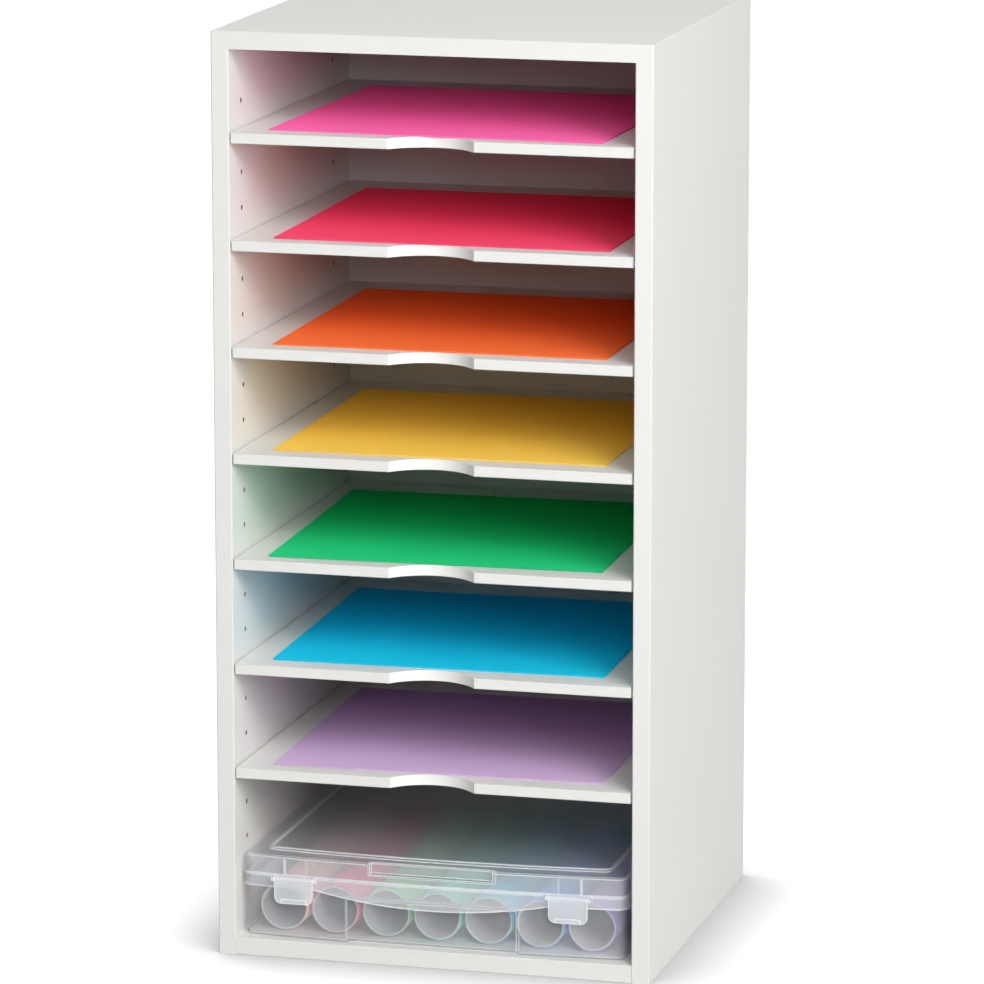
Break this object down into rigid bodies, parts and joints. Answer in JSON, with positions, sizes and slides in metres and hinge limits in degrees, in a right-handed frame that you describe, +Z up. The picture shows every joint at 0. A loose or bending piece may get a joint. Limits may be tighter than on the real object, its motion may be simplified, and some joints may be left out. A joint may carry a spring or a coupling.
{
  "type": "scrapbook paper storage drawers",
  "caption": "Tall white cabinet of thin pull-out trays with finger notches for square scrapbook paper, over a bay with a clear lidded case of rolls.",
  "frame": {"origin": "middle of the cabinet's footprint, on the floor", "axes": "+Z up, the open front faces -Y, +X to the right seen from the front"},
  "size_m": [0.4, 0.388, 0.84],
  "materials": {
    "white_board": "satin white melamine on particle board",
    "white_tray": "satin white melamine with an edge band",
    "white_back": "thin white-faced hardboard",
    "plated_steel": "nickel plated",
    "cast_zinc": "raw cast zinc",
    "beech": "fluted beech",
    "clear_plastic": "frosted clear polypropylene",
    "clear_latch": "frosted clear polypropylene, thicker",
    "paper_pink": "matt card, a little tooth",
    "paper_red": "matt card, a little tooth",
    "paper_orange": "matt card, a little tooth",
    "paper_yellow": "matt card, a little tooth",
    "paper_green": "matt card, a little tooth",
    "paper_blue": "matt card, a little tooth",
    "paper_purple": "matt card, a little tooth",
    "roll_peach": "rolled film, satin",
    "roll_rose": "rolled film, satin",
    "roll_lime": "rolled film, satin",
    "roll_mint": "rolled film, satin",
    "roll_aqua": "rolled film, satin",
    "roll_lilac": "rolled film, satin",
    "roll_lavender": "rolled film, satin"
  },
  "bodies": {
    "cabinet": {"left_side_board": "white_board", "right_side_board": "white_board", "top_board": "white_board", "bottom_board": "white_board", "back_panel": "white_back", "shelf_pins": "plated_steel", "dowels": "beech", "cam_bolts": "plated_steel", "cams": "cast_zinc"},
    "tray_1": {"tray_1": "white_tray", "paper_stack_1": "paper_pink"},
    "tray_2": {"tray_2": "white_tray", "paper_stack_2": "paper_red"},
    "tray_3": {"tray_3": "white_tray", "paper_stack_3": "paper_orange"},
    "tray_4": {"tray_4": "white_tray", "paper_stack_4": "paper_yellow"},
    "tray_5": {"tray_5": "white_tray", "paper_stack_5": "paper_green"},
    "tray_6": {"tray_6": "white_tray", "paper_stack_6": "paper_blue"},
    "tray_7": {"tray_7": "white_tray", "paper_stack_7": "paper_purple"},
    "case": {"case_base": "clear_plastic", "case_hinge_pins": "plated_steel", "roll_1": "roll_peach", "roll_2": "roll_rose", "roll_3": "roll_lime", "roll_4": "roll_mint", "roll_5": "roll_aqua", "roll_6": "roll_lilac", "roll_7": "roll_lavender"},
    "case_lid": {"case_lid": "clear_plastic"},
    "latch_left": {"latch_left": "clear_latch"},
    "latch_right": {"latch_right": "clear_latch"}
  },
  "joints": [
    {"name": "tray_1_slide", "type": "slide", "parent": "cabinet", "child": "tray_1", "axis": [0, -1, 0], "range_m": [0, 0.145]},
    {"name": "tray_2_slide", "type": "slide", "parent": "cabinet", "child": "tray_2", "axis": [0, -1, 0], "range_m": [0, 0.145]},
    {"name": "tray_3_slide", "type": "slide", "parent": "cabinet", "child": "tray_3", "axis": [0, -1, 0], "range_m": [0, 0.145]},
    {"name": "tray_4_slide", "type": "slide", "parent": "cabinet", "child": "tray_4", "axis": [0, -1, 0], "range_m": [0, 0.145]},
    {"name": "tray_5_slide", "type": "slide", "parent": "cabinet", "child": "tray_5", "axis": [0, -1, 0], "range_m": [0, 0.145]},
    {"name": "tray_6_slide", "type": "slide", "parent": "cabinet", "child": "tray_6", "axis": [0, -1, 0], "range_m": [0, 0.145]},
    {"name": "tray_7_slide", "type": "slide", "parent": "cabinet", "child": "tray_7", "axis": [0, -1, 0], "range_m": [0, 0.145]},
    {"name": "case_slide", "type": "slide", "parent": "cabinet", "child": "case", "axis": [0, -1, 0], "range_m": [0, 0.17]},
    {"name": "lid_hinge", "type": "hinge", "parent": "case", "child": "case_lid", "pos_m": [-0.0025, 0.1576, 0.063], "axis": [-1, 0, 0], "range_deg": [0, 10]},
    {"name": "latch_left_hinge", "type": "hinge", "parent": "case_lid", "child": "latch_left", "pos_m": [-0.13, -0.19057, 0.072], "axis": [-1, 0, 0], "range_deg": [0, 95]},
    {"name": "latch_right_hinge", "type": "hinge", "parent": "case_lid", "child": "latch_right", "pos_m": [0.125, -0.19057, 0.072], "axis": [-1, 0, 0], "range_deg": [0, 95]}
  ]
}
